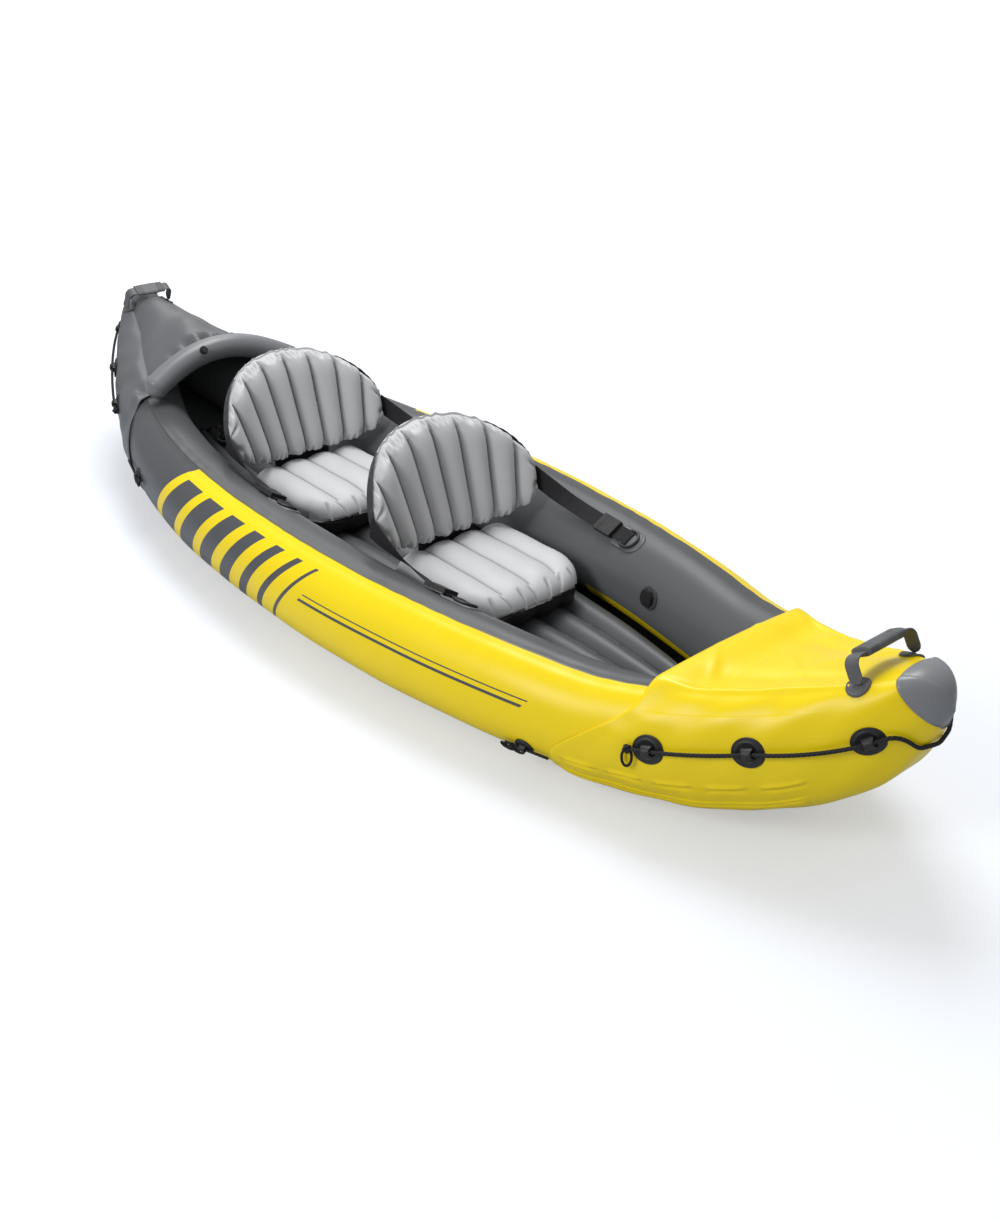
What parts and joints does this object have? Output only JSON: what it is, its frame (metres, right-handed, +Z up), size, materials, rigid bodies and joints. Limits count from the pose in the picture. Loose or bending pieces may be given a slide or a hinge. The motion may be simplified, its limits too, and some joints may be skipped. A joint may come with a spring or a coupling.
{
  "type": "inflatable tandem kayak",
  "caption": "Inflatable two-seat kayak with side air chambers, ribbed floor, tipping backrests on buckled straps, end covers, swinging carry handles, grab lines and screw valves.",
  "frame": {"origin": "on the ground under the middle of the kayak's box", "axes": "+X towards the bow, +Y to port, +Z up"},
  "size_m": [3.024, 0.912, 0.4892],
  "materials": {
    "hull_vinyl": "smooth welded vinyl, yellow outside and grey inside",
    "bottom_vinyl": "heavy black vinyl with moulded ribs",
    "floor_vinyl": "dark grey vinyl, welded into tubes",
    "bow_fabric": "coated yellow fabric, softly creased",
    "stern_fabric": "coated grey fabric, softly creased",
    "arch_vinyl": "smooth grey vinyl",
    "nose_vinyl": "thick grey vinyl patch",
    "handle_rubber": "grey webbing and soft moulded grip",
    "pad_rubber": "matt black moulded rubber",
    "rope": "twisted black rope",
    "seat_vinyl": "pale grey vinyl with welded channels",
    "panel_fabric": "dark coated fabric",
    "webbing": "black woven webbing and sheet",
    "buckle_plastic": "black moulded plastic",
    "valve_plastic": "grey moulded plastic",
    "valve_cap_plastic": "black moulded plastic"
  },
  "bodies": {
    "hull": {"bottom_skin": "bottom_vinyl", "floor_chamber": "floor_vinyl", "starboard_chamber": "hull_vinyl", "port_chamber": "hull_vinyl", "bow_cover": "bow_fabric", "stern_cover": "stern_fabric", "stern_arch": "arch_vinyl", "bow_cap": "nose_vinyl", "stern_cap": "nose_vinyl", "bow_handle_tabs": "handle_rubber", "bow_line_pads_starboard": "pad_rubber", "bow_line_pads_port": "pad_rubber", "bow_grab_line": "rope", "bow_tie_pads": "pad_rubber", "bow_tie_cord_starboard": "rope", "bow_tie_cord_port": "rope", "stern_handle_tabs": "handle_rubber", "stern_line_pads_starboard": "pad_rubber", "stern_line_pads_port": "pad_rubber", "stern_grab_line": "rope", "stern_tie_pads": "pad_rubber", "stern_tie_cord_starboard": "rope", "stern_tie_cord_port": "rope", "front_seat_base": "webbing", "front_seat_cushion": "seat_vinyl", "front_anchor_starboard": "webbing", "front_anchor_port": "webbing", "front_buckle_socket_starboard": "buckle_plastic", "front_buckle_socket_port": "buckle_plastic", "rear_seat_base": "webbing", "rear_seat_cushion": "seat_vinyl", "rear_anchor_starboard": "webbing", "rear_anchor_port": "webbing", "rear_buckle_socket_starboard": "buckle_plastic", "rear_buckle_socket_port": "buckle_plastic", "starboard_valve_base": "valve_plastic", "port_valve_base": "valve_plastic", "floor_valve_base": "valve_plastic", "arch_valve": "valve_plastic"},
    "front_back": {"front_backrest": "seat_vinyl", "front_back_panel": "panel_fabric", "front_strap_starboard": "webbing", "front_strap_port": "webbing"},
    "front_plug_starboard": {"front_buckle_plug_starboard": "buckle_plastic"},
    "front_plug_port": {"front_buckle_plug_port": "buckle_plastic"},
    "rear_back": {"rear_backrest": "seat_vinyl", "rear_back_panel": "panel_fabric", "rear_strap_starboard": "webbing", "rear_strap_port": "webbing"},
    "rear_plug_starboard": {"rear_buckle_plug_starboard": "buckle_plastic"},
    "rear_plug_port": {"rear_buckle_plug_port": "buckle_plastic"},
    "bow_handle": {"bow_handle_strap": "handle_rubber", "bow_handle_grip": "handle_rubber"},
    "stern_handle": {"stern_handle_strap": "handle_rubber", "stern_handle_grip": "handle_rubber"},
    "starboard_cap": {"starboard_valve_cap": "valve_cap_plastic"},
    "port_cap": {"port_valve_cap": "valve_cap_plastic"},
    "floor_cap": {"floor_valve_cap": "valve_cap_plastic"}
  },
  "joints": [
    {"name": "front_back_tilt", "type": "hinge", "parent": "hull", "child": "front_back", "pos_m": [0.155, 0, 0.19333], "axis": [0, 1, 0], "range_deg": [-15, 30], "deforming": ["front_strap_starboard", "front_strap_port"]},
    {"name": "rear_back_tilt", "type": "hinge", "parent": "hull", "child": "rear_back", "pos_m": [-0.508, 0, 0.19439], "axis": [0, 1, 0], "range_deg": [-15, 30], "deforming": ["rear_strap_starboard", "rear_strap_port"]},
    {"name": "front_plug_slide_starboard", "type": "slide", "parent": "hull", "child": "front_plug_starboard", "axis": [-0.9931, -0.1172, -0.0039], "range_m": [0, 0.04], "deforming": ["front_strap_starboard"]},
    {"name": "front_plug_slide_port", "type": "slide", "parent": "hull", "child": "front_plug_port", "axis": [-0.9931, 0.1172, -0.0039], "range_m": [0, 0.04], "deforming": ["front_strap_port"]},
    {"name": "rear_plug_slide_starboard", "type": "slide", "parent": "hull", "child": "rear_plug_starboard", "axis": [-0.9996, 0.0278, -0.0009], "range_m": [0, 0.04], "deforming": ["rear_strap_starboard"]},
    {"name": "rear_plug_slide_port", "type": "slide", "parent": "hull", "child": "rear_plug_port", "axis": [-0.9996, -0.0278, -0.0009], "range_m": [0, 0.04], "deforming": ["rear_strap_port"]},
    {"name": "bow_handle_swing", "type": "hinge", "parent": "hull", "child": "bow_handle", "pos_m": [1.37153, 0, 0.40329], "axis": [0, 1, 0], "range_deg": [-50, 60]},
    {"name": "stern_handle_swing", "type": "hinge", "parent": "hull", "child": "stern_handle", "pos_m": [-1.39442, 0, 0.4395], "axis": [0, 1, 0], "range_deg": [-50, 10]},
    {"name": "starboard_cap_turn", "type": "hinge", "parent": "hull", "child": "starboard_cap", "pos_m": [0.66778, -0.17476, 0.16575], "axis": [-0.162, 0.966, 0.2018], "range_deg": [0, 540]},
    {"name": "port_cap_turn", "type": "hinge", "parent": "hull", "child": "port_cap", "pos_m": [0.66778, 0.17476, 0.16575], "axis": [-0.162, -0.966, 0.2018], "range_deg": [0, 540]},
    {"name": "floor_cap_turn", "type": "hinge", "parent": "hull", "child": "floor_cap", "pos_m": [-0.95805, 0, 0.09932], "axis": [0.13, 0, 0.9915], "range_deg": [0, 540]}
  ]
}
